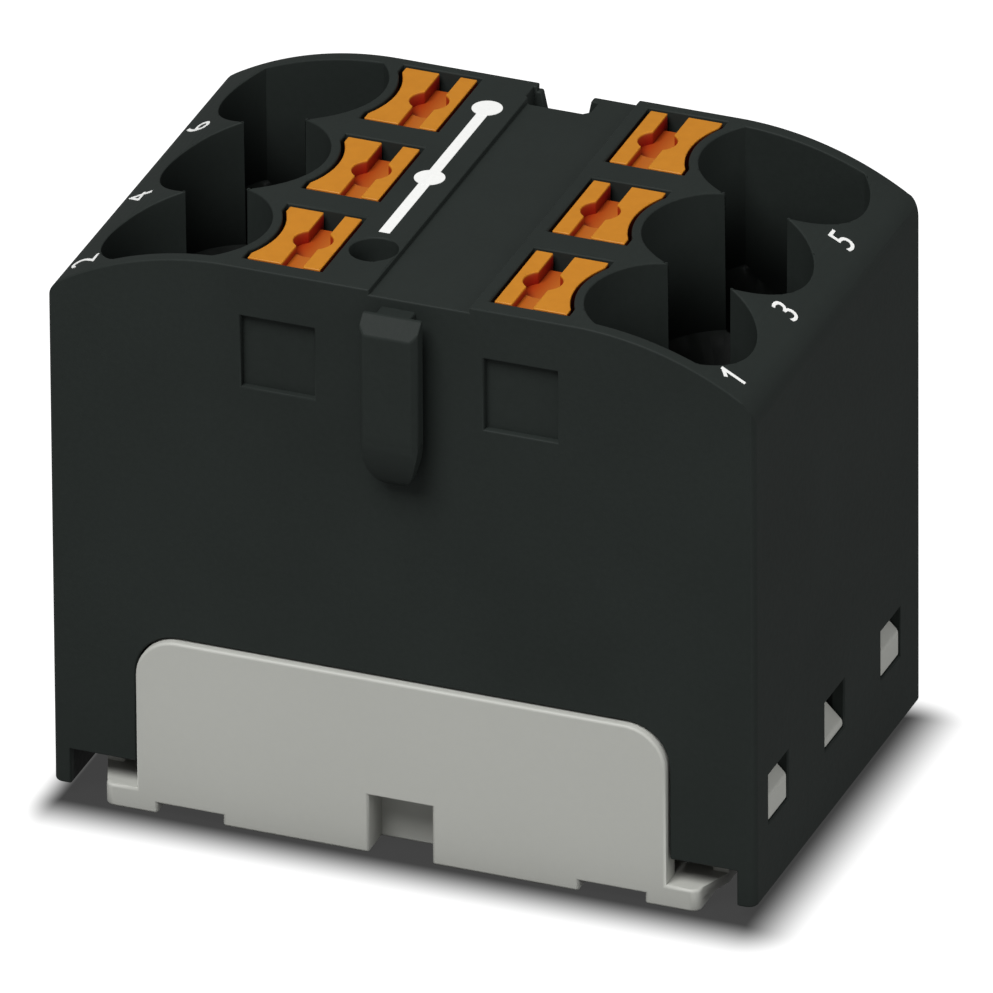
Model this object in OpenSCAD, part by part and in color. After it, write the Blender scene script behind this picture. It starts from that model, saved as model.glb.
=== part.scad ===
// Push-in power distribution block: six spring clamps on one busbar, in a
// two-row housing that latches onto a base.
// Origin: centre of the base's underside. +X across the two rows of wire
// entries, +Y from the face with the joining rib to the back, +Z up.
// Millimetres. Clamps 1, 3, 5 are the +X row and 2, 4, 6 the -X row, both
// counted from the front.

/* [Clamp grid] */
// Distance between neighbouring clamps in a row
row_pitch = 6.05; // [6.0:0.05:8]
// Distance of each wire entry from the middle plane
wire_x = 9.85; // [9.6:0.05:12]
// Front face to the front edge of the first lever
front_margin = 0.93; // [0.85:0.01:2]
// Back edge of the last lever to the back face
back_margin = 0.57; // [0.55:0.01:2]

/* [Housing] */
// Height of the housing alone
body_h = 23.8; // [23:0.1:32]
// Height of the housing's lower edge above the standing surface
body_lift = 0.5; // [0.3:0.1:0.9]
// Half width of the flat middle of the top
crown_flat = 7; // [6.8:0.1:7.5]
// Radius of the sloping shoulders
shoulder_r = 13; // [12:0.5:20]
// Radius between shoulder and side wall
brow_r = 1.4; // [0.5:0.1:1.6]
// Radius of the four upright edges
edge_r = 0.4; // [0.2:0.05:0.8]
// Thickness of the front and back walls below the clamps
end_wall = 0.9; // [0.7:0.05:1.2]
// Thickness of the side walls beside the latches
side_wall = 0.75; // [0.6:0.05:1]
// Height of the front wall's lower edge above the housing's lower edge
skirt_cut = 1.5; // [1.2:0.1:2]

/* [Wire entries] */
// Radius of the round funnels
funnel_r = 3.27; // [3.1:0.01:3.5]
// Straight depth of the funnels
funnel_depth = 6; // [5:0.5:8]
// Height of the cone below the straight part
cone_h = 1.7; // [1:0.1:2.5]
// Radius of the conductor hole
port_r = 1.95; // [1.5:0.05:2]
// Rim between a funnel and the side face
funnel_rim = 1.28; // [1.1:0.01:2]
// Wall that closes the funnels at the front and back
funnel_wall = 0.58; // [0.4:0.02:0.8]

/* [Top details] */
// Left edge of the sunk centre strip
strip_left = -1.2; // [-1.25:0.05:-0.5]
// Right edge of the sunk centre strip
strip_right = 2.87; // [2:0.01:3]
// Depth of the centre strip
strip_depth = 0.22; // [0.1:0.02:0.5]
// Radius of the test socket
test_r = 0.95; // [0.6:0.05:0.95]
// Distance of the test socket from the middle plane
test_x = 2.2; // [2.15:0.05:2.25]

/* [Levers] */
// Distance of a lever's inner edge from the middle plane
lever_x = 3.55; // [3.5:0.01:3.7]
// Width of a lever across the row
lever_w = 2.95; // [2.7:0.05:3]
// Length of a lever along the row
lever_l = 4.4; // [4:0.05:4.6]
// Gap round a lever in its shaft
lever_gap = 0.15; // [0.08:0.01:0.18]
// Wall between a lever's shaft and the funnel
lever_wall = 0.38; // [0.3:0.02:0.5]
// How far a lever's top lies below the crown
lever_sink = 0.05; // [0:0.01:0.2]
// Width of the screwdriver slot
slot_w = 0.86; // [0.6:0.02:1]
// Distance of the slot from the lever's inner edge
slot_inset = 0.7; // [0.6:0.02:0.8]
// Slot depth from the front of the lever to its middle
slot_front = 0.35; // [0.1:0.05:0.5]
// Depth of the round pocket, and of the slot behind it
slot_back = 0.55; // [0.5:0.05:1.2]
// Radius of the round pocket in the slot
dimple_r = 0.77; // [0.6:0.01:0.8]
// Depth of the notch in the lever's back edge
notch_l = 0.35; // [0.3:0.05:0.8]

/* [Joining rib] */
// Width of the rib's head
rib_w = 2.4; // [2:0.05:2.5]
// Width of the rib's neck
rib_neck = 1.4; // [1:0.05:1.6]
// How far the rib stands out from the front face
rib_out = 1.3; // [1:0.05:1.4]
// Length of the neck in that distance
rib_neck_l = 0.5; // [0.3:0.05:0.7]
// Distance of the rib's top from the crown
rib_drop = 0.6; // [0.5:0.1:2]
// Height of the rib's straight part
rib_h = 4.2; // [3:0.1:6]
// Height of the tapered nose below it
rib_nose_h = 2.65; // [2:0.05:3.5]
// Play of a rib in a neighbour's groove
rib_gap = 0.12; // [0.08:0.01:0.15]
// Widening of the groove's mouth on each side, for leading a rib in
groove_lead = 0.25; // [0.1:0.05:0.4]
// Height of that widening
groove_lead_h = 1.2; // [0.8:0.1:2]

/* [Front recesses] */
// Distance of a recess's inner edge from the middle plane
pad_x = 3.45; // [3:0.05:4]
// Width of a recess
pad_w = 3; // [2:0.1:4]
// Height of a recess
pad_h = 3.05; // [2:0.05:4]
// Distance of a recess's top from the crown
pad_drop = 2.1; // [1.5:0.1:4]
// Depth of a recess
pad_depth = 0.3; // [0.1:0.02:0.35]

/* [Base] */
// Thickness of the base plate
plate_t = 0.95; // [0.8:0.05:1.2]
// Half width of the front and back tabs
tab_half = 10.85; // [9:0.05:11]
// Height of the tabs above the standing surface
tab_h = 7.6; // [6:0.1:9]
// Radius of a tab's upper corners
tab_r = 1.7; // [0.5:0.1:3]
// How far a tab stands proud of the housing
tab_proud = 0.24; // [0.1:0.02:0.4]
// Gap round a tab in the housing wall
tab_gap = 0.08; // [0.05:0.01:0.15]
// Half width of the ears at the front and back, and of their feet
ear_half = 12.2; // [11.5:0.1:12.4]
// Radius of the ears' corners
ear_r = 0.4; // [0.2:0.05:0.6]
// How much the plate flares outward behind the ears
ear_flare = 0.55; // [0.2:0.05:0.6]
// Length of that flare
ear_l = 1.84; // [1:0.02:2]
// Half width of the middle foot
foot_half = 7.3; // [6:0.1:8]
// Inner edge of the ears' feet
ear_foot = 10; // [9:0.1:10.5]
// Height of the relief between the feet
relief_h = 0.45; // [0.3:0.05:0.6]
// Half width of the middle notch
key_half = 1.3; // [1:0.05:2]
// Height of the middle notch
key_h = 2.5; // [2:0.05:2.6]
// Depth of the middle notch
key_depth = 1.4; // [1.1:0.05:1.6]

/* [Latches] */
// Width of a latch window
window_w = 2.1; // [1.8:0.05:2.6]
// Height of a latch window
window_h = 2.1; // [1.8:0.05:2.4]
// Lower edge of the windows above the housing's lower edge
window_z = 2.95; // [2.6:0.05:3.2]
// Shift of the windows from the middle of the depth
window_shift = -0.4; // [-0.5:0.05:0.2]
// Thickness of a latch arm
arm_t = 0.7; // [0.6:0.05:0.75]
// Gap between a latch arm and the side wall
arm_gap = 0.15; // [0.1:0.01:0.25]
// Height at which a latch arm steps outward
arm_step_z = 1.3; // [1.2:0.1:1.8]
// Gap round a latch in its window
latch_gap = 0.06; // [0.04:0.01:0.1]
// How far a latch's nose stays inside the side face
latch_inset = 0.04; // [0.02:0.01:0.15]
// Height of the outer latches' upright face
latch_face = 1.05; // [0.3:0.05:1.2]
// Height of the middle latches' upright face
latch_face_mid = 0.3; // [0.2:0.05:1.2]

/* [Clamps and busbar] */
// Thickness of the busbar
bar_t = 0.8; // [0.6:0.05:1]
// Height of the busbar's underside above the standing surface
bar_z = 3; // [2.8:0.05:3.2]
// Width of each upright contact wall of the busbar
contact_w = 3.4; // [3:0.1:3.8]
// Width of each spring and of each lever's foot
clamp_w = 3.7; // [3:0.1:3.8]
// Thickness of the spring strip
spring_t = 0.35; // [0.25:0.01:0.4]
// Radius of the spring's loop, to the middle of the strip
loop_r = 1.8; // [1.6:0.05:1.85]
// Gap between a lever's foot and the spring's clamping leg
press_gap = 0.2; // [0.1:0.05:0.3]
// Radius of the busbar's bends, to the middle of the strip
bend_r = 0.9; // [0.8:0.05:1.1]
// Width of each lug of the busbar
lug_w = 2.8; // [2.4:0.1:3]
// Height of the lugs above the busbar
lug_h = 2.6; // [2:0.1:3]
// Height of the chamber's ceiling above the standing surface
ceiling_z = 14.5; // [14.3:0.1:15]
// Thickness of the walls between neighbouring chambers
partition = 0.75; // [0.6:0.05:1]
// Running gap between stacked or facing inner pieces
seat_gap = 0.05; // [0.03:0.01:0.08]
// Thickness of the base's cross walls and of the wall round the middle notch
support_w = 1.2; // [1:0.1:1.5]

/* [Hidden] */
$fn = 64;
// Overlap of joined solids and of cuts
eps = 0.01;
// Length by which a cut runs clear of the material
clear = 1;
black = "#262b29";
light_grey = "#a6a7a1";
orange = "#e1962a";
copper = "#c9a27c";
steel = "#b9bcc0";

// Overall sizes that follow from the grid
body_w = 2 * (wire_x + funnel_r + funnel_rim);
body_d = front_margin + 2 * row_pitch + lever_l + back_margin;
top_z = body_lift + body_h;
front_y = -body_d / 2;
back_y = body_d / 2;
mid_row_y = front_y + front_margin + lever_l / 2 + row_pitch;

// Clamp n sits at row_y(n) and on side_of(n), +1 or -1
function row_y(n) = mid_row_y + (floor((n - 1) / 2) - 1) * row_pitch;
function side_of(n) = n % 2 == 1 ? 1 : -1;

// Room beside and above a latch in the side wall
latch_side = 0.2;
latch_room = 0.35;

// Inner heights
funnel_floor = top_z - funnel_depth;
port_top = funnel_floor - cone_h;
bar_top = bar_z + bar_t;
chamber_floor = bar_top + seat_gap;
skirt_z = body_lift + skirt_cut;
window_low = body_lift + window_z;
window_high = window_low + window_h;
latch_room_top = window_high + latch_room;
nose_low = window_low + latch_gap;
nose_top = window_high - latch_gap;

// Inner places across the width
centre_wall = 2.4;
chamber_in = centre_wall / 2;
contact_in = wire_x + port_r;
contact_room = 0.2;
chamber_out = contact_in + bar_t + contact_room;
wall_in = body_w / 2 - side_wall;
plate_edge = ear_half + ear_flare;
arm_out = wall_in - arm_gap;
chamber_half = (row_pitch - partition) / 2;
shaft_wall = min(front_margin, back_margin) - lever_gap;

// Geometry of the spring strip in the X-Z plane: the loop hangs below the
// ceiling, and the tip meets the contact wall above the busbar
tip_rise = 2.4;
loop_drop = 1.5;
loop_c = [lever_x + lever_w / 2, ceiling_z - loop_r - loop_drop];
tip = [contact_in - spring_t, bar_top + tip_rise];
tip_v = tip - loop_c;
tip_d = norm(tip_v);
leave_a = atan2(tip_v.y, tip_v.x) + acos(loop_r / tip_d);
leave_p = loop_c + loop_r * [cos(leave_a), sin(leave_a)];
leg_slope = -cos(leave_a) / sin(leave_a);
spring_foot_z = bar_top + seat_gap;
function leg_top(x) =
    leave_p.y + leg_slope * (x - leave_p.x) + spring_t / 2 / sin(leave_a);

// Contact walls and lugs of the busbar
wall_mid = contact_in + bar_t / 2;
contact_drop = 2;
contact_top = ceiling_z - contact_drop;
lug_x = loop_c.x - loop_r - spring_t / 2 - seat_gap;

// Foot of a lever: its length, its chamfer, and its distance from the port
foot_l = 1.3;
foot_chamfer = 0.5;
foot_port_gap = 0.4;
foot_out = wire_x - port_r - foot_port_gap;
foot_in = foot_out - foot_l;
stem_gap = 0.3;
stem_low = loop_c.y + loop_r + spring_t / 2 + stem_gap;
slot_x = lever_x + slot_inset + slot_w / 2;

// Points on an arc from angle a0 to a1
function arc(c, r, a0, a1, n = 24) =
    [for (i = [0:n]) let (a = a0 + (a1 - a0) * i / n) c + r * [cos(a), sin(a)]];
// Outline of a strip of thickness t along a line of points
function heading(p, i) =
    let (v = p[min(i + 1, len(p) - 1)] - p[max(i - 1, 0)]) v / norm(v);
function side_step(p, i) = [-heading(p, i).y, heading(p, i).x];
function strip_outline(p, t) = concat(
    [for (i = [0:len(p) - 1]) p[i] + side_step(p, i) * t / 2],
    [for (i = [len(p) - 1:-1:0]) p[i] - side_step(p, i) * t / 2]
);

// Extrudes an X-Z outline along Y, centred on y
module along_y(y, w) {
    translate([0, y + w / 2, 0]) rotate([90, 0, 0]) linear_extrude(w) children();
}

// Extrudes a Y-Z outline along X, centred on x
module along_x(x, w) {
    translate([x - w / 2, 0, 0]) rotate([90, 0, 90]) linear_extrude(w) children();
}

// Box between two corners
module box(low, high) {
    translate(low) cube(high - low);
}

// Repeats a +X feature on both sides
module both_sides() {
    for (s = [0, 1]) mirror([s, 0, 0]) children();
}

// Repeats a front feature at the back
module both_ends() {
    for (s = [0, 1]) mirror([0, s, 0]) children();
}

// Places a +X feature, drawn at y = 0, at clamp n
module at_clamp(n) {
    translate([0, row_y(n), 0]) mirror([side_of(n) > 0 ? 0 : 1, 0, 0]) children();
}

// Rectangle with round corners, built from true circles
module round_rect(w, d, r) {
    square([w - 2 * r, d], center = true);
    square([w, d - 2 * r], center = true);
    for (x = [-1, 1], y = [-1, 1])
        translate([x * (w / 2 - r), y * (d / 2 - r)]) circle(r);
}

// ---- Housing ----

// Front view: flat crown, arched shoulders, small brow radius into the sides
module housing_front() {
    shoulder_c = [crown_flat, top_z - shoulder_r];
    reach = body_w / 2 - brow_r - shoulder_c.x;
    brow_c = [body_w / 2 - brow_r,
              shoulder_c.y + sqrt(pow(shoulder_r - brow_r, 2) - reach * reach)];
    meet_a = atan2(brow_c.y - shoulder_c.y, reach);
    half = concat(
        arc(shoulder_c, shoulder_r, 90, meet_a),
        arc(brow_c, brow_r, meet_a, 0, 12),
        [[body_w / 2, body_lift]]
    );
    left = [for (i = [len(half) - 1:-1:0]) [-half[i].x, half[i].y]];
    polygon(concat(half, left));
}

module housing_block() {
    intersection() {
        along_y(0, body_d) housing_front();
        linear_extrude(top_z + clear) round_rect(body_w, body_d, edge_r);
    }
}

// One wire entry: straight funnel, cone and conductor hole, drawn at +X
module wire_entry() {
    translate([wire_x, 0, funnel_floor]) cylinder(h = funnel_depth + clear, r = funnel_r);
    translate([wire_x, 0, port_top]) cylinder(h = cone_h + eps, r1 = port_r, r2 = funnel_r);
    translate([wire_x, 0, ceiling_z - eps])
        cylinder(h = port_top - ceiling_z + 2 * eps, r = port_r);
}

module wire_entries() {
    intersection() {
        for (n = [1:6]) at_clamp(n) wire_entry();
        box([-body_w, front_y + funnel_wall, 0], [body_w, back_y - funnel_wall, top_z + 2 * clear]);
    }
}

// Plan of a lever, or of its shaft with grow > 0; the outer side is hollowed
// concentric with the funnel
module lever_plan(grow = 0) {
    difference() {
        translate([lever_x - grow, -lever_l / 2 - grow])
            square([lever_w + 2 * grow, lever_l + 2 * grow]);
        translate([wire_x, 0]) circle(funnel_r + lever_wall + lever_gap - grow);
    }
}

// Spring and contact chamber under one wire entry, drawn at +X
module chamber() {
    box([chamber_in, -chamber_half, chamber_floor], [chamber_out, chamber_half, ceiling_z]);
}

module chambers() {
    intersection() {
        for (n = [1:6]) at_clamp(n) chamber();
        box([-body_w, front_y + shaft_wall, 0], [body_w, back_y - shaft_wall, top_z]);
    }
}

// Room for the base: a shallow hall, and a pocket for each latch arm
module base_room() {
    box([-wall_in, front_y + end_wall, 0], [wall_in, back_y - end_wall, chamber_floor]);
    for (i = [-1:1]) both_sides()
        box([chamber_out - eps, window_y(i) - window_w / 2 - latch_side, body_lift],
            [wall_in, window_y(i) + window_w / 2 + latch_side, latch_room_top]);
}

function window_y(i) = window_shift + i * row_pitch;

module windows() {
    for (i = [-1:1]) both_sides()
        box([wall_in - eps, window_y(i) - window_w / 2, window_low],
            [body_w / 2 + clear, window_y(i) + window_w / 2, window_high]);
}

// Front view of a tab, or of its cut-out with grow > 0
module tab_front(grow = 0) {
    half = tab_half + grow;
    r = tab_r + grow;
    high = tab_h + grow;
    polygon(concat(
        [[half, -clear]],
        arc([half - r, high - r], r, 0, 90, 12),
        arc([r - half, high - r], r, 90, 180, 12),
        [[-half, -clear]]
    ));
}

// Cuts in the front and back walls for the tabs and the ears
module end_cuts() {
    both_ends() {
        along_y(front_y + end_wall / 2, end_wall + 2 * eps) tab_front(tab_gap);
        box([-wall_in, front_y - eps, 0], [wall_in, front_y + end_wall + eps, skirt_z]);
    }
}

// Joining rib, drawn as it stands on the front face. With gap > 0 it is the
// room that a neighbour's rib needs.
module joining_rib(gap = 0, open_top = false) {
    top = open_top ? top_z + clear : top_z - rib_drop;
    low = top_z - rib_drop - rib_out / 2 - rib_h;
    tip_z = low - rib_nose_h;
    head = rib_w / 2 + gap;
    neck = rib_neck / 2 + gap;
    out = rib_out + gap;
    round_in = 0.25;
    lean = open_top ? 0 : rib_out / 2;
    intersection() {
        translate([0, front_y, tip_z - clear]) linear_extrude(top - tip_z + clear)
            polygon([
                [-neck, rib_neck_l], [-neck, gap - rib_neck_l],
                [-head, gap - rib_neck_l], [-head, round_in - out], [round_in - head, -out],
                [head - round_in, -out], [head, round_in - out], [head, gap - rib_neck_l],
                [neck, gap - rib_neck_l], [neck, rib_neck_l]
            ]);
        // side view: leaning top, nose running back into the wall
        along_x(0, 4 * head) translate([front_y, 0])
            polygon(concat(
                [[eps, top], [-out + lean, top], [-out, top - lean]],
                [for (i = [0:12]) let (t = i / 12)
                    [-out * cos(90 * t), low - rib_nose_h * sin(90 * t)]],
                [[eps, tip_z]]
            ));
        // front view: bullet nose
        along_y(front_y - out / 2, 4 * out)
            polygon(concat(
                [[head, top], [-head, top]],
                [for (i = [-12:12]) let (t = i / 12)
                    [head * sin(90 * t), low - rib_nose_h * cos(90 * t)]]
            ));
    }
}

// Groove at the back that takes a neighbour's rib from above, with a wider
// mouth at the top
module joining_groove() {
    neck = rib_neck / 2 + rib_gap;
    translate([0, body_d, 0]) joining_rib(rib_gap, open_top = true);
    along_y(back_y, 2 * rib_neck_l)
        polygon([
            [-neck, top_z - groove_lead_h], [neck, top_z - groove_lead_h],
            [neck + groove_lead, top_z + eps], [-neck - groove_lead, top_z + eps]
        ]);
}

module front_recesses() {
    both_sides()
        box([pad_x, front_y - clear, top_z - pad_drop - pad_h],
            [pad_x + pad_w, front_y + pad_depth, top_z - pad_drop]);
}

module test_socket() {
    translate([-test_x, row_y(1), ceiling_z - eps]) cylinder(h = top_z, r = test_r);
}

module housing() {
    color(black) {
        difference() {
            housing_block();
            wire_entries();
            for (n = [1:6]) at_clamp(n)
                translate([0, 0, ceiling_z - eps]) linear_extrude(top_z) lever_plan(lever_gap);
            chambers();
            base_room();
            windows();
            end_cuts();
            front_recesses();
            test_socket();
            joining_groove();
            box([strip_left, -body_d, top_z - strip_depth], [strip_right, body_d, top_z + clear]);
        }
        joining_rib();
    }
}

// ---- Base ----

tab_face = front_y - tab_proud;
tab_back = front_y + end_wall - tab_gap;

// Plate with a round-cornered ear at each corner and a flare behind it
module base_plate() {
    front = concat(
        arc([ear_half - ear_r, tab_face + ear_r], ear_r, -90, 0, 6),
        [[plate_edge, tab_face + ear_l]]
    );
    last = len(front) - 1;
    back = [for (i = [last:-1:0]) [front[i].x, -front[i].y]];
    right = concat(front, back);
    left = [for (i = [2 * last + 1:-1:0]) [-right[i].x, right[i].y]];
    linear_extrude(plate_t) polygon(concat(right, left));
}

// Reliefs between the middle foot and the ears' feet and outside the ears'
// feet, along the whole depth
module foot_relief() {
    both_sides() {
        box([foot_half, -body_d, -clear], [ear_foot, body_d, relief_h]);
        box([ear_half, -body_d, -clear], [body_w, body_d, relief_h]);
    }
}

// Latch arm with its outward step and wedge nose, drawn at +X
module latch(face) {
    nose_out = body_w / 2 - latch_inset;
    step = arm_out - plate_edge;
    along_y(0, window_w - 2 * latch_gap)
        polygon([
            [plate_edge - arm_t, plate_t - eps], [plate_edge, plate_t - eps],
            [plate_edge, arm_step_z], [arm_out, arm_step_z + step], [arm_out, nose_low],
            [nose_out, nose_low], [nose_out, nose_low + face],
            [arm_out, nose_low + face + (nose_out - arm_out)],
            [arm_out, nose_top], [arm_out - arm_t, nose_top],
            [arm_out - arm_t, arm_step_z + step + arm_t / 2],
            [plate_edge - arm_t, arm_step_z + arm_t / 2]
        ]);
}

// Cross walls that carry the busbar, under the chamber walls
module bar_supports() {
    support_half = contact_in - bend_r;
    for (s = [-1, 1])
        translate([0, mid_row_y + s * row_pitch / 2, 0])
            box([-support_half, -support_w / 2, plate_t - eps],
                [support_half, support_w / 2, bar_z - seat_gap]);
}

module base() {
    key_block = key_half + support_w;
    color(light_grey) difference() {
        union() {
            base_plate();
            both_ends() {
                along_y((tab_face + tab_back) / 2, tab_back - tab_face)
                    intersection() {
                        tab_front();
                        translate([-body_w, 0]) square([2 * body_w, top_z]);
                    }
                box([-key_block, tab_back - eps, plate_t - eps],
                    [key_block, tab_face + key_depth + support_w, bar_z - seat_gap]);
            }
            bar_supports();
            both_sides() {
                for (i = [-1, 1]) translate([0, window_y(i), 0]) latch(latch_face);
                translate([0, window_y(0), 0]) latch(latch_face_mid);
            }
        }
        foot_relief();
        both_ends()
            box([-key_half, tab_face - clear, -clear], [key_half, tab_face + key_depth, key_h]);
    }
}

// ---- Busbar ----

// Right half of one clamp's strip: web, bend and upright contact wall
module contact_strip() {
    c = [wall_mid - bend_r, bar_z + bar_t / 2 + bend_r];
    along_y(0, contact_w)
        polygon(strip_outline(concat(
            [[0, c.y - bend_r]],
            arc(c, bend_r, -90, 0, 10),
            [[wall_mid, contact_top]]
        ), bar_t));
}

// Lug bent up from the web behind the spring's upright leg, and its window
module lug() {
    box([lug_x - bar_t, -lug_w / 2, bar_z + eps], [lug_x, lug_w / 2, bar_top + lug_h]);
}

module lug_window() {
    box([lug_x, -lug_w / 2, bar_z - clear], [lug_x + lug_h, lug_w / 2, bar_top + clear]);
}

// Room between the front and back walls, which the busbar keeps clear of
module bar_room() {
    box([-body_w, front_y + end_wall + seat_gap, 0],
        [body_w, back_y - end_wall - seat_gap, top_z]);
}

module busbar() {
    web_half = contact_in - bend_r;
    color(copper) intersection() {
        difference() {
            union() {
                box([-web_half, row_y(1) - contact_w / 2, bar_z],
                    [web_half, row_y(6) + contact_w / 2, bar_top]);
                for (n = [1:6]) at_clamp(n) {
                    contact_strip();
                    lug();
                }
            }
            for (n = [1:6]) at_clamp(n) lug_window();
        }
        bar_room();
    }
}

// ---- Springs ----

// Bent leaf: upright holding leg, loop, and clamping leg down to the contact wall
module spring(n) {
    path = concat(
        [[loop_c.x - loop_r, spring_foot_z]],
        arc(loop_c, loop_r, 180, leave_a, 20),
        [tip]
    );
    color(steel) at_clamp(n) along_y(0, clamp_w) polygon(strip_outline(path, spring_t));
}

// ---- Levers ----

// Push lever: head with screwdriver slot on a stem that runs in the shaft, and
// a foot under the ceiling that holds it in and bears on the clamping leg
module lever(n) {
    top = top_z - lever_sink;
    chamfer_x = foot_in + foot_chamfer;
    color(orange) at_clamp(n) difference() {
        union() {
            translate([0, 0, stem_low]) linear_extrude(top - stem_low) lever_plan();
            along_y(0, clamp_w)
                polygon([
                    [lever_x, ceiling_z - seat_gap], [lever_x, stem_low],
                    [foot_in, stem_low],
                    [chamfer_x, leg_top(chamfer_x) + press_gap],
                    [foot_out, leg_top(foot_out) + press_gap],
                    [foot_out, ceiling_z - seat_gap]
                ]);
        }
        // slot with a deeper rear half, and a round pocket in its middle
        along_x(slot_x, slot_w)
            polygon([
                [-lever_l, top + clear], [-lever_l, top - slot_front], [0, top - slot_front],
                [0, top - slot_back], [lever_l, top - slot_back], [lever_l, top + clear]
            ]);
        translate([slot_x, 0, top - slot_back])
            cylinder(h = slot_back + clear, r = dimple_r);
        box([slot_x - slot_w / 2, lever_l / 2 - notch_l, ceiling_z + clear],
            [slot_x + slot_w / 2, lever_l, top + clear]);
    }
}

housing();
base();
busbar();
spring(1);  // spring_1
spring(2);  // spring_2
spring(3);  // spring_3
spring(4);  // spring_4
spring(5);  // spring_5
spring(6);  // spring_6
lever(1);  // lever_1
lever(2);  // lever_2
lever(3);  // lever_3
lever(4);  // lever_4
lever(5);  // lever_5
lever(6);  // lever_6
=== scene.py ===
# %% [markdown]
# # A push-in power distribution block
# The block joins six wires. Each is pushed into a round funnel, where a spring
# clamps it onto one busbar, and an orange lever beside the funnel lets it go.
# Outside there is a black housing, latched onto a light-grey base. The packed
# solids already have the right shapes, so this lesson gives them what solids
# lack: soft edges, real plastics and metals, printed marks, light and a camera.

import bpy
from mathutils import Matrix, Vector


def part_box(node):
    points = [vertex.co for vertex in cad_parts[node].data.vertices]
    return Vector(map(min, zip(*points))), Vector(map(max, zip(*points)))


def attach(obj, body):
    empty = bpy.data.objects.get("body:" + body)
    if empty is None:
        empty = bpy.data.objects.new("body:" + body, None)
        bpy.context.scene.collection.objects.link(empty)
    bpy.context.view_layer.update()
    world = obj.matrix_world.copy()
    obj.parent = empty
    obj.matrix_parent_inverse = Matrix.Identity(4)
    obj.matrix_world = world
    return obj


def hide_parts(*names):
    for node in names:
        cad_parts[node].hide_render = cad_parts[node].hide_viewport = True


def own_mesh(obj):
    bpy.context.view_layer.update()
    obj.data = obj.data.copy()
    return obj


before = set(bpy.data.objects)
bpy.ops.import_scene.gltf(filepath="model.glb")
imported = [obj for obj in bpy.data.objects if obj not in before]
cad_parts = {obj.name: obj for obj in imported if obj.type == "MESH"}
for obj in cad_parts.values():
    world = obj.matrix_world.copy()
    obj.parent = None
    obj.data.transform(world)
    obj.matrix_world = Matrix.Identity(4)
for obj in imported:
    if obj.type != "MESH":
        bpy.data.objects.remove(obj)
print("solids:", ", ".join(sorted(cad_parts)))

# %% [markdown]
# ## Tools of the lesson
# Everything is in metres, so one small value turns millimetres into metres.

# %% Imports and units
import math

import bmesh
import bpy
from mathutils import Matrix, Vector

MM = 0.001
CLAMPS = range(1, 7)
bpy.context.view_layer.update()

# %% [markdown]
# ## A socket that does arithmetic
# A shader graph is a set of formulas, and built node by node it is hard to
# read. Wrapping a socket in a small class lets each formula be written as
# Python: `1 - mask` adds its Math nodes. Every node comes from `add_node`,
# which takes the node's type, its settings, and what goes into its sockets.


# %% Shader arithmetic
class Wire:
    """One output socket of a node tree, with arithmetic that adds Math nodes."""

    def __init__(self, tree, socket):
        self.tree = tree
        self.socket = socket

    def math(self, operation, *others, clamp=False):
        return add_node(self.tree, "Math", {"operation": operation, "use_clamp": clamp},
                        dict(enumerate((self, *others))))

    def __add__(self, other):
        return self.math("ADD", other)

    def __mul__(self, other):
        return self.math("MULTIPLY", other)

    def __sub__(self, other):
        return self.math("SUBTRACT", other)

    def __rsub__(self, other):
        return (self * -1.0) + other

    __radd__ = __add__
    __rmul__ = __mul__


def feed(tree, socket, value):
    """Links a wire to a socket, or sets the socket's own value."""
    if isinstance(value, Wire):
        tree.links.new(value.socket, socket)
    else:
        socket.default_value = value


def add_node(tree, kind, settings=None, inputs=None, output=0):
    """Adds a node: its settings first, then its inputs, by their name or number."""
    made = tree.nodes.new("ShaderNode" + kind)
    for name, value in (settings or {}).items():
        setattr(made, name, value)
    for name, value in (inputs or {}).items():
        feed(tree, made.inputs[name], value)
    return Wire(tree, made.outputs[output])


print("operators of a wire: +, -, * and math()")

# %% [markdown]
# ## Formulas that come back
# All the finishes need the same few things: a colour written as it shows on
# screen, a blend of two colours, one part of a vector, a ramp, a noise and a
# bump. They could be node groups, but the export reads plain nodes best, so
# they are short functions, named for what they do.


# %% Helpers for formulas
def linear(red, green, blue):
    """A shader colour from screen values of 0 to 255."""
    def channel(value):
        value = value / 255
        return value / 12.92 if value <= 0.04045 else ((value + 0.055) / 1.055) ** 2.4
    return (channel(red), channel(green), channel(blue), 1.0)


def grey(level):
    return (level, level, level, 1.0)


def blend_colours(tree, factor, first, second):
    return add_node(tree, "Mix", {"data_type": "RGBA"},
                    {0: factor, 6: first, 7: second}, output=2)


def only(tree, vector, letter):
    """One part of a vector: X, Y or Z."""
    return add_node(tree, "SeparateXYZ", inputs={0: vector}, output=letter)


def between(wire, low, high):
    """Low where the wire is 0, high where it is 1."""
    return wire * (high - low) + low


def ramp_down(wire, start, end):
    """1 below start, 0 above end, and a straight line between them."""
    return ((end - wire) * (1 / (end - start))).math("MULTIPLY", 1.0, clamp=True)


def noise(tree, vector, size, detail):
    """A noise whose spots are about as wide as size."""
    return add_node(tree, "TexNoise",
                    inputs={"Vector": vector, "Scale": 1 / size, "Detail": detail})


def set_bump(tree, shader, height, strength, depth):
    bump = add_node(tree, "Bump", inputs={
        "Strength": strength, "Distance": depth, "Height": height})
    feed(tree, shader.inputs["Normal"], bump)


print("a middle grey of the screen is", round(linear(128, 128, 128)[0], 3), "in a shader")

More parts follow.
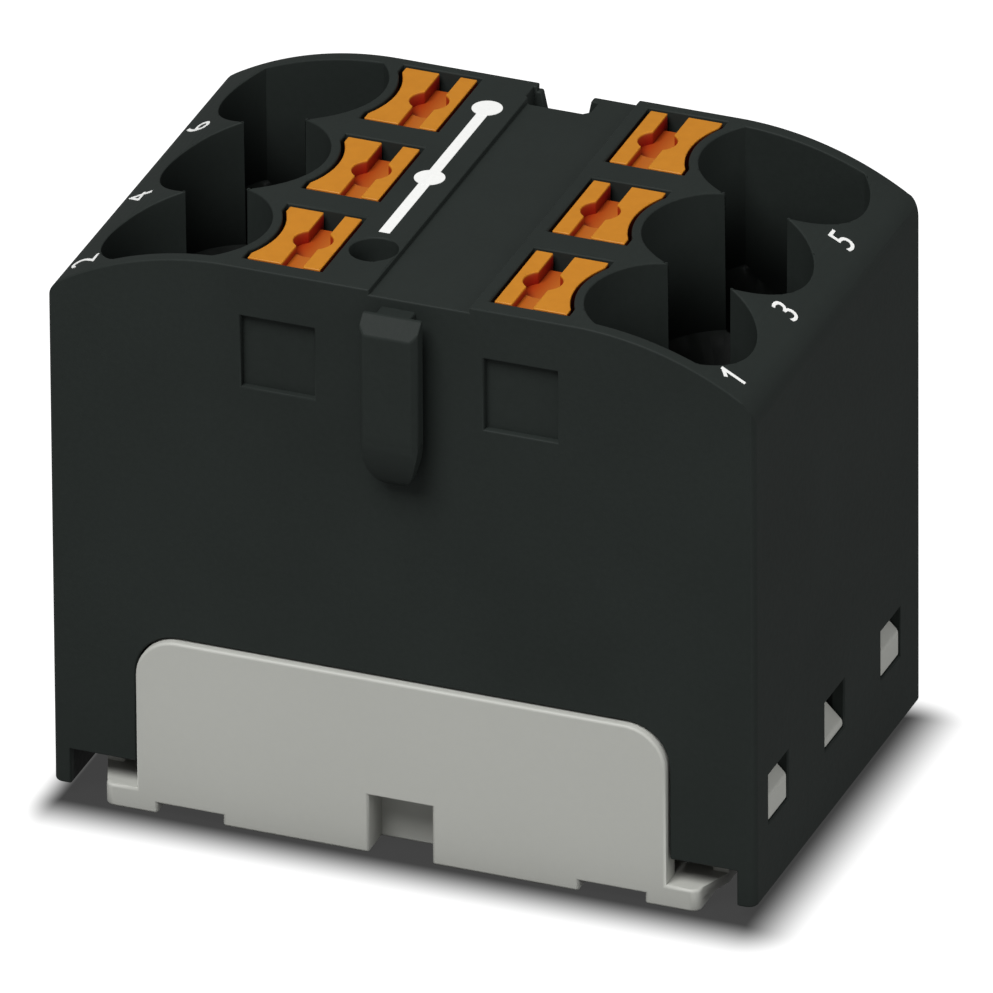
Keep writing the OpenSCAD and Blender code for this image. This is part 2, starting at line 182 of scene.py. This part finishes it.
# %% [markdown]
# ## Moulded plastic
# The housing and the base are injection moulded. The mould's walls are eroded
# by sparks, which leaves a fine grain on the plastic, and the colour drifts a
# little over a surface. A picture of that grain would need unwrapped faces and
# would show its repeats close up, so noises make it, and one grain drives the
# colour, the roughness and the bump. They read Object coordinates, so the
# pattern stays on a piece when it moves.

# %% Recipe for moulded plastic
PLASTIC_IOR = 1.5
COLOUR_DRIFT = 6 * MM
DRIFT_SHARE = 0.6
GRAIN_SHARE = 0.4
ROUGHNESS_SPREAD = 0.08
# Painted shade: the near-black that a mask paints into the hollows.
PAINTED_HOLLOW_SHADE = (0.006, 0.007, 0.0065, 1.0)


def new_material(name):
    """A material, its tree, its shader, and a wire with the object coordinates."""
    material = bpy.data.materials.new(name)
    material.use_nodes = True
    tree = material.node_tree
    place = add_node(tree, "TexCoord", output="Object")
    return material, tree, tree.nodes["Principled BSDF"], place


def moulded_plastic(name, dark, light, roughness, gloss, grain_size, grain_depth, hollow_shade=None):
    """Plastic with a grain. Where the optional shade mask is 1, shade is painted in, nearly
    black.
    """
    material, tree, shader, place = new_material(name)
    drift = noise(tree, place, COLOUR_DRIFT, detail=2.0)
    grain = noise(tree, place, grain_size, detail=3.0)
    colour = blend_colours(tree, drift * DRIFT_SHARE + grain * GRAIN_SHARE, dark, light)
    if hollow_shade:
        # painted shade: nearly black where the mask is 1
        colour = blend_colours(tree, hollow_shade(tree, place), colour, PAINTED_HOLLOW_SHADE)
    feed(tree, shader.inputs["Base Color"], colour)
    feed(tree, shader.inputs["Roughness"],
         between(grain, roughness - ROUGHNESS_SPREAD, roughness + ROUGHNESS_SPREAD))
    shader.inputs["IOR"].default_value = PLASTIC_IOR
    shader.inputs["Specular IOR Level"].default_value = gloss
    set_bump(tree, shader, grain, strength=0.5, depth=grain_depth)
    return material


BASE_GREY = moulded_plastic(
    "moulded_grey", linear(180, 181, 175), linear(188, 189, 183), roughness=0.48, gloss=0.4,
    grain_size=0.3 * MM, grain_depth=0.006 * MM)
print("plastic:", BASE_GREY.name)

# %% [markdown]
# ## Black plastic, with painted shade inside
# Deep in the funnels, and in the chambers under them, almost no light comes
# back, so shade is painted into the colour there, nearly black. Weaker lamps
# would darken the outside too. A mask by place leaves the outside alone: it
# grows with the depth below the crown and stays within the skin of the outer faces.

# %% Black housing plastic
# Depths between which the painted shade grows, and the outer skins it spares.
HOLLOW_DEPTHS = (3.0 * MM, 6.3 * MM)
SIDE_SKIN = 0.5 * MM
END_SKIN = 0.35 * MM


def inside_housing(tree, place):
    """Mask of painted shade in the funnels' lower ends and in the chambers under them."""
    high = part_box("housing")[1]
    shallow, deep = HOLLOW_DEPTHS
    beside = only(tree, place, "X").math("ABSOLUTE").math("LESS_THAN", high.x - SIDE_SKIN)
    within = only(tree, place, "Y").math("ABSOLUTE").math("LESS_THAN", high.y - END_SKIN)
    return ramp_down(only(tree, place, "Z"), high.z - deep, high.z - shallow) * beside * within


HOUSING_BLACK = moulded_plastic(
    "moulded_black", linear(36, 40, 38), linear(46, 51, 49), roughness=0.5, gloss=0.07,
    grain_size=0.22 * MM, grain_depth=0.012 * MM, hollow_shade=inside_housing)
print("plastic:", HOUSING_BLACK.name)

# %% [markdown]
# ## Orange lever plastic
# The screwdriver slot in a lever looks red on its walls and floor, because they
# lie in shade and the light that leaves them has bounced from orange to orange.
# Light under the surface could be simulated, but it is slow and the export drops
# it, so masks paint that shade and bounced light into the colour: one grows with
# the depth below the lever's top, one picks the upright walls by the z of the
# surface normal, and one makes the slot's floor redder towards its tall wall and
# more orange on the open side.

# %% Lever plastic
LEVER_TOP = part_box("lever_1")[1].z
SLOT_MIDDLE = 4.68 * MM
SLOT_DEPTH = 0.5 * MM
SLOT_STRENGTH = 0.92
WALL_BEGINS = (0.03 * MM, 0.12 * MM)
OPEN_SIDE = (-0.55 * MM, 0.35 * MM)
TOP_ORANGE = (linear(190, 121, 26), linear(203, 132, 34))
# Painted shade and bounced light: the slot floor's two reds and the walls' dark red.
PAINTED_SLOT_FLOOR = (linear(190, 98, 24), linear(158, 38, 12))
SLOT_WALL_SHADE = linear(150, 26, 12)


def lever_plastic():
    material, tree, shader, place = new_material("moulded_orange")
    grain = noise(tree, place, 0.4 * MM, detail=2.0)
    below_top = LEVER_TOP - only(tree, place, "Z")
    sideways = only(tree, place, "X")
    across = (sideways.math("ABSOLUTE") - SLOT_MIDDLE) * sideways.math("SIGN")
    facing = add_node(tree, "NewGeometry", output="Normal")
    upright = 1 - only(tree, facing, "Z").math("ABSOLUTE")
    top = blend_colours(tree, grain, *TOP_ORANGE)
    # painted shade and bounced light: the floor redder towards the slot's tall wall
    painted_bounce = blend_colours(tree, ramp_down(across, *OPEN_SIDE), *PAINTED_SLOT_FLOOR)
    deep = 1 - ramp_down(below_top, 0.0, SLOT_DEPTH)
    level = blend_colours(tree, deep * SLOT_STRENGTH, top, painted_bounce)
    # painted shade: the slot's upright walls dark red
    wall = (1 - ramp_down(below_top, *WALL_BEGINS)) * upright
    feed(tree, shader.inputs["Base Color"], blend_colours(tree, wall, level, SLOT_WALL_SHADE))
    feed(tree, shader.inputs["Roughness"], between(grain, 0.38, 0.48))
    shader.inputs["IOR"].default_value = PLASTIC_IOR
    shader.inputs["Specular IOR Level"].default_value = 0.3
    set_bump(tree, shader, grain, strength=0.4, depth=0.004 * MM)
    return material


LEVER_ORANGE = lever_plastic()
print("lever tops at", round(LEVER_TOP / MM, 2), "mm")

# %% [markdown]
# ## Metal inside, ink outside
# The busbar and the springs are seen only down the wire entries, and still
# have their own metals: tinned copper and bright spring strip. A perfectly
# smooth metal would only mirror the dark chamber. Rolled metal has fine lines,
# so its noise is squeezed along one axis by a Mapping node, and it drives the
# roughness too. The marks are printed in a matt white ink with tiny specks.

# %% Metals and ink
LINE_SPACING = 1.5 * MM
SQUEEZE = (1.0, 12.0, 1.0)
INK_SPECKS = 0.12 * MM


def rolled_metal(name, dull, bright, roughness):
    material, tree, shader, place = new_material(name)
    squeezed = add_node(tree, "Mapping", inputs={"Vector": place, "Scale": SQUEEZE})
    lines = noise(tree, squeezed, LINE_SPACING, detail=3.0)
    feed(tree, shader.inputs["Base Color"], blend_colours(tree, lines, dull, bright))
    feed(tree, shader.inputs["Roughness"], between(lines, roughness, roughness + 0.2))
    shader.inputs["Metallic"].default_value = 1.0
    set_bump(tree, shader, lines, strength=0.3, depth=0.004 * MM)
    return material


def white_ink():
    material, tree, shader, place = new_material("marking_ink")
    specks = noise(tree, place, INK_SPECKS, detail=2.0)
    feed(tree, shader.inputs["Base Color"],
         blend_colours(tree, specks, linear(238, 239, 237), linear(252, 252, 250)))
    shader.inputs["Roughness"].default_value = 0.6
    return material


BUSBAR_METAL = rolled_metal(
    "tinned_copper", linear(196, 186, 168), linear(220, 214, 200), roughness=0.28)
SPRING_STEEL = rolled_metal(
    "bright_steel", linear(176, 178, 180), linear(206, 208, 210), roughness=0.2)
MARKING_INK = white_ink()
print("metals and ink:", BUSBAR_METAL.name, SPRING_STEEL.name, MARKING_INK.name)

# %% [markdown]
# ## Whole faces from loose triangles
# A solid from the frame is never changed, so each softened piece begins as a
# copy of it. The copy is loose triangles, and a bevel needs real edges between
# whole faces. Modelling the pieces again would risk other shapes, so doubles
# are merged and flat areas dissolved. The floor of the funnels, a hair-thin rim
# round each cone, keeps its triangles.

# %% Merged and dissolved copies
SAME_PLACE = 0.0005 * MM
SAME_LEVEL = 0.01 * MM
FLAT_ANGLE = math.radians(0.5)
FUNNEL_FLOOR = 18.3 * MM
LYING = 0.9


def alone(piece):
    """Leaves this piece the only one that is selected, and makes it active."""
    bpy.ops.object.select_all(action="DESELECT")
    piece.select_set(True)
    bpy.context.view_layer.objects.active = piece


def at_funnel_floor(point):
    return abs(point.z - FUNNEL_FLOOR) < SAME_LEVEL


def copy_with_whole_faces(node, name):
    piece = bpy.data.objects.new(name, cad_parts[node].data.copy())
    bpy.context.scene.collection.objects.link(piece)
    alone(piece)
    bpy.ops.object.mode_set(mode="EDIT")
    bpy.ops.mesh.select_mode(type="VERT")
    bpy.ops.mesh.select_all(action="SELECT")
    bpy.ops.mesh.remove_doubles(threshold=SAME_PLACE)
    bpy.ops.mesh.select_mode(type="FACE")
    bpy.ops.object.mode_set(mode="OBJECT")
    for face in piece.data.polygons:
        face.select = not (at_funnel_floor(face.center) and abs(face.normal.z) >= LYING)
    bpy.ops.object.mode_set(mode="EDIT")
    bpy.ops.mesh.dissolve_limited(angle_limit=FLAT_ANGLE)
    bpy.ops.object.mode_set(mode="OBJECT")
    return piece


print("the funnels' floor lies at", round(FUNNEL_FLOOR / MM, 2), "mm")

# %% [markdown]
# ## How wide each edge may be rounded
# No moulded edge is a knife edge: each has a small radius that catches the
# light, and without it a black part looks like paper. One bevel width for all
# the edges would fold the narrow faces. So each outer edge gets a bevel weight,
# the share of the radius that its faces have room for. Inner corners stay
# sharp, as do a few plain spots where faces meet too closely.

# %% Bevel weights
OUTER_ANGLE = math.radians(35)
SHARED_ROOM = 0.45
OWN_ROOM = 0.9
LEAST_SHARE = 0.15
STRAIGHT_ON = -0.9


def room_beside(edge, outer, radius):
    """How wide a bevel the faces beside an edge can take, at most the radius. A
    side edge that is bevelled itself lends less than half of its length, because
    its other end may need as much."""
    room = radius
    for corner in edge.verts:
        along = (edge.other_vert(corner).co - corner.co).normalized()
        for side in (s for face in edge.link_faces for s in face.edges):
            if side is edge or corner not in side.verts:
                continue
            away = side.other_vert(corner).co - corner.co
            if away.normalized().dot(along) > STRAIGHT_ON:
                across = (away - away.dot(along) * along).length
                room = min(room, across * (SHARED_ROOM if side in outer else OWN_ROOM))
    return room


def weigh_edges(piece, radius, plain):
    """Gives each outer edge its bevel weight. The rims of the funnels' floor and
    the edges near a plain spot (a centre and its reach) stay sharp."""
    mesh = bmesh.new()
    mesh.from_mesh(piece.data)
    weight = mesh.edges.layers.float.new("bevel_weight_edge")
    outer = {edge for edge in mesh.edges
             if edge.is_manifold and edge.is_convex and edge.calc_face_angle() > OUTER_ANGLE}
    for edge in outer:
        first, second = (end.co for end in edge.verts)
        middle = (first + second) / 2
        at_rim = at_funnel_floor(first) and at_funnel_floor(second)
        if at_rim or any((middle - centre).length < reach for centre, reach in plain):
            continue
        room = room_beside(edge, outer, radius)
        edge[weight] = room / radius if room > LEAST_SHARE * radius else 0.0
    mesh.to_mesh(piece.data)
    mesh.free()


print("outer edges turn by more than", round(math.degrees(OUTER_ANGLE)), "degrees")

# %% [markdown]
# ## The recipe for a softened piece
# Every moulded or bent piece is treated alike: a copy with whole faces, bevel
# weights, a Bevel modifier, smooth shading and a finish. Smooth shading alone
# would bend the light on the large faces, so weighted normals keep them flat.
# The last calls hide the solid that the piece is copied from and attach the piece to the body
# it rides.

# %% Copy, bevel, normals and finish
BEVEL_STEPS = 3
SMOOTH_ANGLE = math.radians(32)


def apply_modifier(piece, modifier):
    alone(piece)
    bpy.ops.object.modifier_apply(modifier=modifier.name)


def softened(node, name, material, radius, body, plain=()):
    piece = copy_with_whole_faces(node, name)
    weigh_edges(piece, radius, plain)
    bevel = piece.modifiers.new("edge_radius", "BEVEL")
    bevel.width = radius
    bevel.segments = BEVEL_STEPS
    bevel.limit_method = "WEIGHT"
    bevel.use_clamp_overlap = False
    apply_modifier(piece, bevel)
    bpy.ops.object.shade_smooth_by_angle(angle=SMOOTH_ANGLE)
    flats = piece.modifiers.new("flat_faces", "WEIGHTED_NORMAL")
    flats.keep_sharp = True
    apply_modifier(piece, flats)
    piece.data.materials.clear()
    piece.data.materials.append(material)
    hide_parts(node)
    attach(piece, body)
    print(name, len(piece.data.polygons), "faces")
    return piece


print("a rounded edge has", BEVEL_STEPS, "facets")

# %% [markdown]
# ## Housing
# The black housing is the largest moulding: funnels, lever shafts, a test
# socket, a sunk strip, and a rib and a groove that join it to its neighbours.
# Its radius could be the same everywhere, but at some spots a bevel would throw
# up spikes: at the feet of the rib and the groove, at the neck between the
# socket and the strip, and where the shoulders meet the upright corners.


# %% Softened housing
def spot(x, y, z, reach):
    """A plain spot from millimetres: its centre, and how far it reaches."""
    return Vector((x, y, z)) * MM, reach * MM


RIB_FOOT = spot(0, -9.7, 17.4, reach=1.7)
GROOVE_FOOT = spot(0, 8.3, 17.4, reach=1.7)
SOCKET_NECKS = [spot(-1.2, -5.87, z, reach=1.0) for z in (14.5, 24.3)]
SHOULDER_CORNERS = [spot(x, y, 21.9, reach=0.45) for x in (-14.2, 14.2) for y in (-8.85, 8.85)]

housing = softened("housing", "housing_shell", HOUSING_BLACK, 0.08 * MM,
                   "block", plain=(RIB_FOOT, GROOVE_FOOT, *SOCKET_NECKS, *SHOULDER_CORNERS))

# %% [markdown]
# ## Base and levers
# The grey base latches into the housing from below, and six orange levers run
# in the housing's shafts. Neither needs a plain spot. One radius could serve
# both, but a large one would eat a lever's narrow slot, and a small one would
# hardly show on the base, so each has its own.

# %% Softened base and levers
softened("base", "latched_base", BASE_GREY, 0.12 * MM, "block")
for n in CLAMPS:
    softened(f"lever_{n}", f"press_lever_{n}", LEVER_ORANGE, 0.05 * MM,
             f"lever_{n}")

# %% [markdown]
# ## Round walls with true normals
# The wire funnels are upright cylinders, drawn with narrow flat facets. Where
# other edges cut a facet, averaged normals turn into stripes. More facets would
# only make finer stripes, so the wall's corners get the exact normal of a round
# wall instead: straight towards the funnel's axis.

# %% Exact normals on the funnel walls
FUNNEL_X = 9.85 * MM
FUNNEL_Y = (-5.87 * MM, 0.18 * MM, 6.23 * MM)
FUNNEL_RADIUS = 3.27 * MM
WALL_NEAR = 0.03 * MM
WALL_LEAN = 0.02


def true_round_walls(piece):
    """Turns the normals of the funnels' walls, and counts the faces."""
    mesh = piece.data
    normals = [corner.vector.copy() for corner in mesh.corner_normals]
    axes = [Vector((side * FUNNEL_X, y)) for side in (-1, 1) for y in FUNNEL_Y]
    turned = 0
    for face in mesh.polygons:
        if abs(face.normal.z) > WALL_LEAN or face.center.z < FUNNEL_FLOOR:
            continue
        for axis in axes:
            spokes = [axis - mesh.vertices[v].co.xy for v in face.vertices]
            if all(abs(spoke.length - FUNNEL_RADIUS) < WALL_NEAR for spoke in spokes):
                turned += 1
                for loop, spoke in zip(face.loop_indices, spokes):
                    normals[loop] = spoke.to_3d().normalized()
    mesh.normals_split_custom_set(normals)
    return turned


print("wall faces with true normals:", true_round_walls(housing))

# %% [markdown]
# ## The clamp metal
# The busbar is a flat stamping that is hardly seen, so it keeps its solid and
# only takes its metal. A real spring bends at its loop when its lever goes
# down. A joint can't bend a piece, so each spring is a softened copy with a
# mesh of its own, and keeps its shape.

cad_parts["busbar"].data.materials.clear()
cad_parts["busbar"].data.materials.append(BUSBAR_METAL)

for n in CLAMPS:
    spring = softened(f"spring_{n}", f"clamp_spring_{n}", SPRING_STEEL,
                      0.03 * MM, "block")
    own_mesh(spring)

# %% [markdown]
# ## Print as a very thin solid
# The marks on the housing are printed. Print could be a mask in the plastic,
# but figures are hard to write as formulas and blur when they are baked. So a
# mark is a real piece with a few hundredths of a millimetre of thickness, laid
# on the surface, with its place in its own mesh.

# %% Helpers for printed pieces
PRINT_DEPTH = 0.012 * MM
CROWN_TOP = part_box("housing")[1].z


def printed(piece, name):
    piece.name = name
    piece.data.materials.clear()
    piece.data.materials.append(MARKING_INK)
    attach(piece, "block")
    return piece


def settle(piece, matrix):
    """Puts a piece's place into its mesh, so that its origin is the frame's."""
    piece.data.transform(matrix)
    piece.matrix_world = Matrix.Identity(4)


def joined(first, *others):
    """Makes one piece of several, under the first one's name."""
    alone(first)
    for piece in others:
        piece.select_set(True)
    bpy.ops.object.join()
    return first


print("the crown is at", round(CROWN_TOP / MM, 2), "mm")

# %% [markdown]
# ## Numbers on the shoulders
# Each wire entry has a number beside it, on the sloping shoulder, and all are
# read from the same side. The shoulder is an arc, so its height and slope under
# a number follow from the distance to the middle. The figures are text that is
# made a mesh, because outlines drawn by hand would be less even. The built-in
# figure one is a bare stroke, so it gets a small slanted flag.

# %% Printed numbers
CROWN_FLAT = 7.0 * MM
SHOULDER_RADIUS = 13.0 * MM
NUMBER_X = 13.2 * MM
NUMBER_Y = (-7.85 * MM, -2.3 * MM, 3.75 * MM)
NUMBER_SIZE = 1.6 * MM
FLAG_LENGTH = 0.3 * NUMBER_SIZE
FLAG_DEPTH = 1.9 * PRINT_DEPTH
FLAG_SHIFT = (-0.05 * NUMBER_SIZE, -0.13 * NUMBER_SIZE)
FLAG_SLANT = math.radians(38)


def with_flag(stroke):
    """Gives the bare stroke of the figure one its slanted flag."""
    corners = [vertex.co for vertex in stroke.data.vertices]
    left, right = min(c.x for c in corners), max(c.x for c in corners)
    top = max(c.y for c in corners)
    bpy.ops.mesh.primitive_cube_add(size=1)
    flag = bpy.context.object
    flag.data.transform(
        Matrix.Translation((left + FLAG_SHIFT[0], top + FLAG_SHIFT[1], 0))
        @ Matrix.Rotation(FLAG_SLANT, 4, "Z")
        @ Matrix.Diagonal((FLAG_LENGTH, right - left, FLAG_DEPTH, 1)))
    return joined(stroke, flag)


def shoulder_place(n):
    """Where number n stands on its shoulder, turned to lie flat on it."""
    side = 1 if n % 2 else -1
    lean = math.asin((NUMBER_X - CROWN_FLAT) / SHOULDER_RADIUS)
    place = Vector((side * NUMBER_X, NUMBER_Y[(n - 1) // 2],
                    CROWN_TOP - SHOULDER_RADIUS * (1 - math.cos(lean))))
    reading = Vector((0, 1, 0))
    glyph_top = Vector((-math.cos(lean), 0, side * math.sin(lean)))
    turn = Matrix((reading, glyph_top, reading.cross(glyph_top))).transposed().to_4x4()
    return Matrix.Translation(place) @ turn


def number_mark(n):
    bpy.ops.object.text_add()
    text = bpy.context.object.data
    text.body = str(n)
    text.align_x = "CENTER"
    text.align_y = "CENTER"
    text.size = NUMBER_SIZE
    text.extrude = PRINT_DEPTH
    text.resolution_u = 4
    bpy.ops.object.convert(target="MESH")
    mark = bpy.context.object
    if n == 1:
        mark = with_flag(mark)
    settle(mark, shoulder_place(n))
    return printed(mark, f"number_{n}")


print("numbers:", [number_mark(n).name for n in CLAMPS])

# %% [markdown]
# ## Connection sign on the crown
# A line with two dots beside the sunk strip is the common sign for entries that
# are connected with each other. It is made as the numbers are, as a very thin
# solid: a flat bar and two round dots, joined. The dots are a little thicker
# than the bar, because two faces in one plane would flicker.

# %% Printed sign
LINE_X = -2.33 * MM
LINE_WIDTH = 0.45 * MM
LINE_START = -4.5 * MM
LINE_DEPTH = 2 * PRINT_DEPTH
DOTS = (0.25 * MM, 6.3 * MM)
DOT_RADIUS = 0.6 * MM
DOT_DEPTH = 2.4 * PRINT_DEPTH


def sign_dot(y):
    bpy.ops.mesh.primitive_cylinder_add(vertices=48, radius=DOT_RADIUS, depth=DOT_DEPTH)
    dot = bpy.context.object
    settle(dot, Matrix.Translation((LINE_X, y, CROWN_TOP)))
    return dot


bpy.ops.mesh.primitive_cube_add(size=1)
line = bpy.context.object
line.data.transform(
    Matrix.Translation((LINE_X, (LINE_START + DOTS[1]) / 2, CROWN_TOP))
    @ Matrix.Diagonal((LINE_WIDTH, DOTS[1] - LINE_START, LINE_DEPTH, 1)))
sign = printed(joined(line, *(sign_dot(y) for y in DOTS)), "connection_sign")
print(sign.name, len(sign.data.polygons), "faces")

# %% [markdown]
# ## Contact shadow
# A small block under soft light has a close, dark shadow round its foot. Lamps
# low enough to cast it would dull the top, so the shadow is a formula in the
# floor's material: it fades with the distance from the footprint. It belongs to
# the floor alone, and the block's own materials know nothing of it.

# %% Shadow formula
SHADE_X = (-13.9 * MM, 14.15 * MM)
SHADE_Y = (-9.4 * MM, 8.0 * MM)
SHADE_FADE = (-0.25 * MM, 2.9 * MM)
SHADE_LEAST = 0.03


def contact_shadow(tree, place):
    """1 well away from the block, falling to the least shade under its edges.
    A side with a high rate has a narrow shadow."""
    def gap(letter, ends, low_rate, high_rate):
        along = only(tree, place, letter)
        below, above = (ends[0] - along) * low_rate, (along - ends[1]) * high_rate
        return below.math("MAXIMUM", above).math("MAXIMUM", 0.0)

    gap_x = gap("X", SHADE_X, low_rate=2.0, high_rate=1.0)
    gap_y = gap("Y", SHADE_Y, low_rate=1.0, high_rate=1.5)
    distance = (gap_x * gap_x + gap_y * gap_y).math("SQRT")
    fade = 1 - ramp_down(distance, *SHADE_FADE)
    return between(fade * fade * (3 - fade * 2), SHADE_LEAST, 1.0)


print("the shadow fades over", round((SHADE_FADE[1] - SHADE_FADE[0]) / MM, 2), "mm")

# %% [markdown]
# ## Floor
# The block stands on a plain pale floor. More light would make it white, but
# would also wash out the block. So it is lifted for the camera alone, by an
# emission that the block doesn't receive. It lies a hair below the block, so
# that no two faces share a plane, and is clear from below, so that the
# underside can be looked at.

# %% Floor and its material
FLOOR_HALF = 0.6
FLOOR_Z = -0.02 * MM
FLOOR_TONE = grey(0.4)
LIFT_TONE = grey(1.35)
LIFT_SHARE = 0.8


def floor_material():
    material, tree, shader, place = new_material("floor_white")
    shade = contact_shadow(tree, place)
    feed(tree, shader.inputs["Base Color"], blend_colours(tree, shade, grey(0.0), FLOOR_TONE))
    shader.inputs["Roughness"].default_value = 0.9
    shader.inputs["Specular IOR Level"].default_value = 0.1
    lift = add_node(tree, "Emission", inputs={
        "Color": blend_colours(tree, shade, grey(0.0), LIFT_TONE)})
    to_camera = add_node(tree, "LightPath", output="Is Camera Ray")
    above = add_node(tree, "MixShader", inputs={
        0: to_camera * LIFT_SHARE, 1: Wire(tree, shader.outputs[0]), 2: lift})
    from_below = add_node(tree, "NewGeometry", output="Backfacing")
    clear = add_node(tree, "BsdfTransparent")
    both = add_node(tree, "MixShader", inputs={0: from_below, 1: above, 2: clear})
    feed(tree, tree.nodes["Material Output"].inputs["Surface"], both)
    return material


bpy.ops.mesh.primitive_plane_add(size=2 * FLOOR_HALF, location=(0, 0, FLOOR_Z))
floor = bpy.context.object
floor.name = "floor"
floor.data.materials.append(floor_material())
floor.visible_glossy = False
print("floor:", 2 * FLOOR_HALF, "m square")

# %% [markdown]
# ## Light
# Black plastic shows its shape best in soft light from all round. The world
# gives an even, low light, and to the camera it is plain white. One wide lamp
# above the front shapes the top and the front, and a weaker one lights the
# right side. A hard lamp would show its own spot in the gloss, and stronger
# ones would change the colours from how they are written.

# %% World and lamps
LAMP_AIM = Vector((0, 0, 0.01))


def studio_world(light, seen):
    """An even light, which the camera sees as a brighter plain background."""
    world = bpy.data.worlds.new("studio")
    world.use_nodes = True
    tree = world.node_tree
    background = tree.nodes["Background"]
    to_camera = add_node(tree, "LightPath", output="Is Camera Ray")
    feed(tree, background.inputs["Color"], grey(1.0))
    feed(tree, background.inputs["Strength"], between(to_camera, light, seen))
    return world


def soft_light(name, place, size, power):
    """A round lamp that is turned towards the block."""
    bpy.ops.object.light_add(type="AREA", location=place)
    lamp = bpy.context.object
    lamp.name = name
    lamp.data.shape = "DISK"
    lamp.data.size = size
    lamp.data.energy = power
    lamp.rotation_euler = (LAMP_AIM - Vector(place)).to_track_quat("-Z", "Y").to_euler()
    print(name, "lamp:", power, "W")


bpy.context.scene.world = studio_world(light=0.2, seen=1.0)
soft_light("key", (-0.06, -0.24, 0.40), size=0.26, power=2.02)
soft_light("fill", (0.40, -0.05, 0.14), size=0.24, power=0.5)

# %% [markdown]
# ## Camera
# Small products are taken from far away with a long lens, which keeps upright
# edges nearly parallel. The camera could be moved by hand, but angles are easy
# to repeat: two angles and a distance place it round a point in the block, and
# it is rolled and shifted very slightly.

# %% Camera
AZIMUTH = math.radians(21.44)
ELEVATION = math.radians(28.51)
ROLL = math.radians(-0.40)
DISTANCE = 1.3033
HALF_WIDTH_AT_ONE_METRE = 0.014572211
AIM = Vector((0.0, 0.1, 11.5)) * MM
AIM_SHIFT = (-0.352 * MM, 0.438 * MM)

back = Vector((math.sin(AZIMUTH) * math.cos(ELEVATION),
               -math.cos(AZIMUTH) * math.cos(ELEVATION), math.sin(ELEVATION)))
right = Vector((math.cos(AZIMUTH), math.sin(AZIMUTH), 0))
up = back.cross(right)
right, up = (math.cos(ROLL) * right + math.sin(ROLL) * up,
             math.cos(ROLL) * up - math.sin(ROLL) * right)
turn = Matrix((right, up, back)).transposed().to_4x4()
stand = AIM + back * DISTANCE - right * AIM_SHIFT[0] - up * AIM_SHIFT[1]

bpy.ops.object.camera_add()
camera = bpy.context.object
camera.name = "camera"
camera.data.sensor_width = 36
camera.data.angle = 2 * math.atan(HALF_WIDTH_AT_ONE_METRE)
camera.data.clip_start = 0.1
camera.data.clip_end = 10
camera.matrix_world = Matrix.Translation(stand) @ turn
bpy.context.scene.camera = camera
bpy.context.scene.view_settings.view_transform = "Standard"
print("camera at", [round(c, 3) for c in stand])
